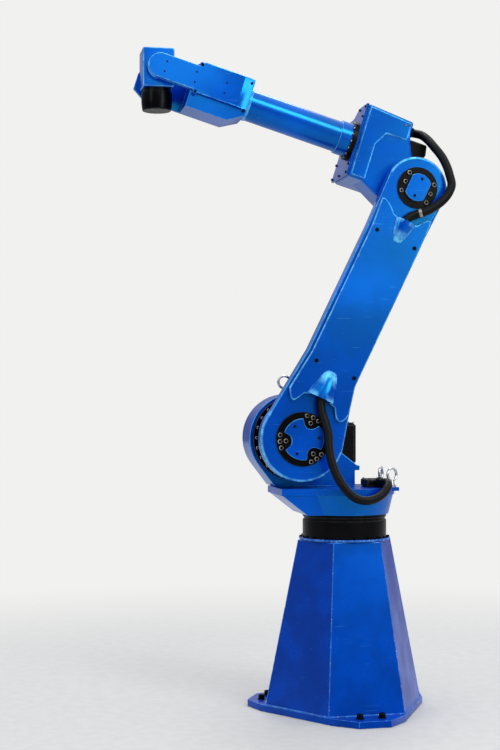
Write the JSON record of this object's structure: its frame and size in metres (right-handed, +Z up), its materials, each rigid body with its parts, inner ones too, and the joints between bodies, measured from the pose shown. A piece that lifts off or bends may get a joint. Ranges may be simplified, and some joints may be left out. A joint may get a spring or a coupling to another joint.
{
  "type": "industrial robot arm",
  "caption": "Articulated industrial robot arm on a tapered six-sided pedestal, with turntable, offset upper arm, elbow casting, tubular forearm and forked wrist.",
  "frame": {"origin": "centre of the pedestal's underside on the floor, on the waist axis", "axes": "+X forward, the way the arm reaches; +Y the robot's left side, where the upper arm hangs; +Z up along the waist axis"},
  "size_m": [1.0362, 0.6272, 2.1508],
  "materials": {
    "blue_paint": "gloss",
    "black_steel": "satin",
    "black_hose": "satin",
    "bright_steel": "bright"
  },
  "bodies": {
    "base": {"pedestal_flange": "blue_paint", "pedestal_body": "blue_paint", "pedestal_top_plate": "blue_paint", "waist_gearbox_ring": "black_steel"},
    "turret": {"turntable": "blue_paint", "shoulder_casting": "blue_paint", "shoulder_gearbox_ring": "black_steel", "shoulder_motor_plate": "blue_paint", "shoulder_motor": "black_steel", "waist_motor": "black_steel", "cable_entry_box": "black_steel", "rear_lifting_eye_a": "bright_steel", "rear_lifting_eye_b": "bright_steel", "drum_lifting_eye": "bright_steel", "shoulder_hose": "black_hose"},
    "upper_arm": {"upper_arm_casting": "blue_paint", "upper_arm_cover": "blue_paint", "shoulder_hub_ring": "black_steel", "shoulder_hub_cap": "blue_paint", "elbow_hub_ring": "black_steel", "elbow_hub_cap": "blue_paint", "elbow_hose": "black_hose"},
    "elbow": {"elbow_casting": "blue_paint", "elbow_front_plate": "blue_paint", "elbow_gearbox_ring": "black_steel", "elbow_motor": "black_steel", "wrist_drive_motor": "black_steel", "forearm_bearing_ring": "black_steel"},
    "forearm": {"forearm_tube": "blue_paint", "wrist_housing": "blue_paint", "wrist_cover_near": "blue_paint", "wrist_cover_far": "blue_paint"},
    "wrist": {"wrist_block": "blue_paint"},
    "flange": {"tool_flange": "black_steel"}
  },
  "joints": [
    {"name": "waist", "type": "hinge", "parent": "base", "child": "turret", "pos_m": [0, 0, 0.644], "axis": [0, 0, 1], "range_deg": [-170, 170]},
    {"name": "shoulder", "type": "hinge", "parent": "turret", "child": "upper_arm", "pos_m": [0.166, 0, 0.89], "axis": [0, 1, 0], "range_deg": [-45, 95], "deforming": ["shoulder_hose"]},
    {"name": "elbow", "type": "hinge", "parent": "upper_arm", "child": "elbow", "pos_m": [-0.2179, 0, 1.70954], "axis": [0, -1, 0], "range_deg": [-60, 80], "deforming": ["elbow_hose"]},
    {"name": "forearm_roll", "type": "hinge", "parent": "elbow", "child": "forearm", "pos_m": [-0.24764, 0, 1.80502], "axis": [0.9548, 0, 0.2974], "range_deg": [-190, 190]},
    {"name": "wrist_bend", "type": "hinge", "parent": "forearm", "child": "wrist", "pos_m": [0.62501, 0, 2.07682], "axis": [0, -1, 0], "range_deg": [-12, 225]},
    {"name": "flange_turn", "type": "hinge", "parent": "wrist", "child": "flange", "pos_m": [0.62501, 0, 2.07682], "axis": [0, 0, -1], "range_deg": [-355, 355]}
  ]
}
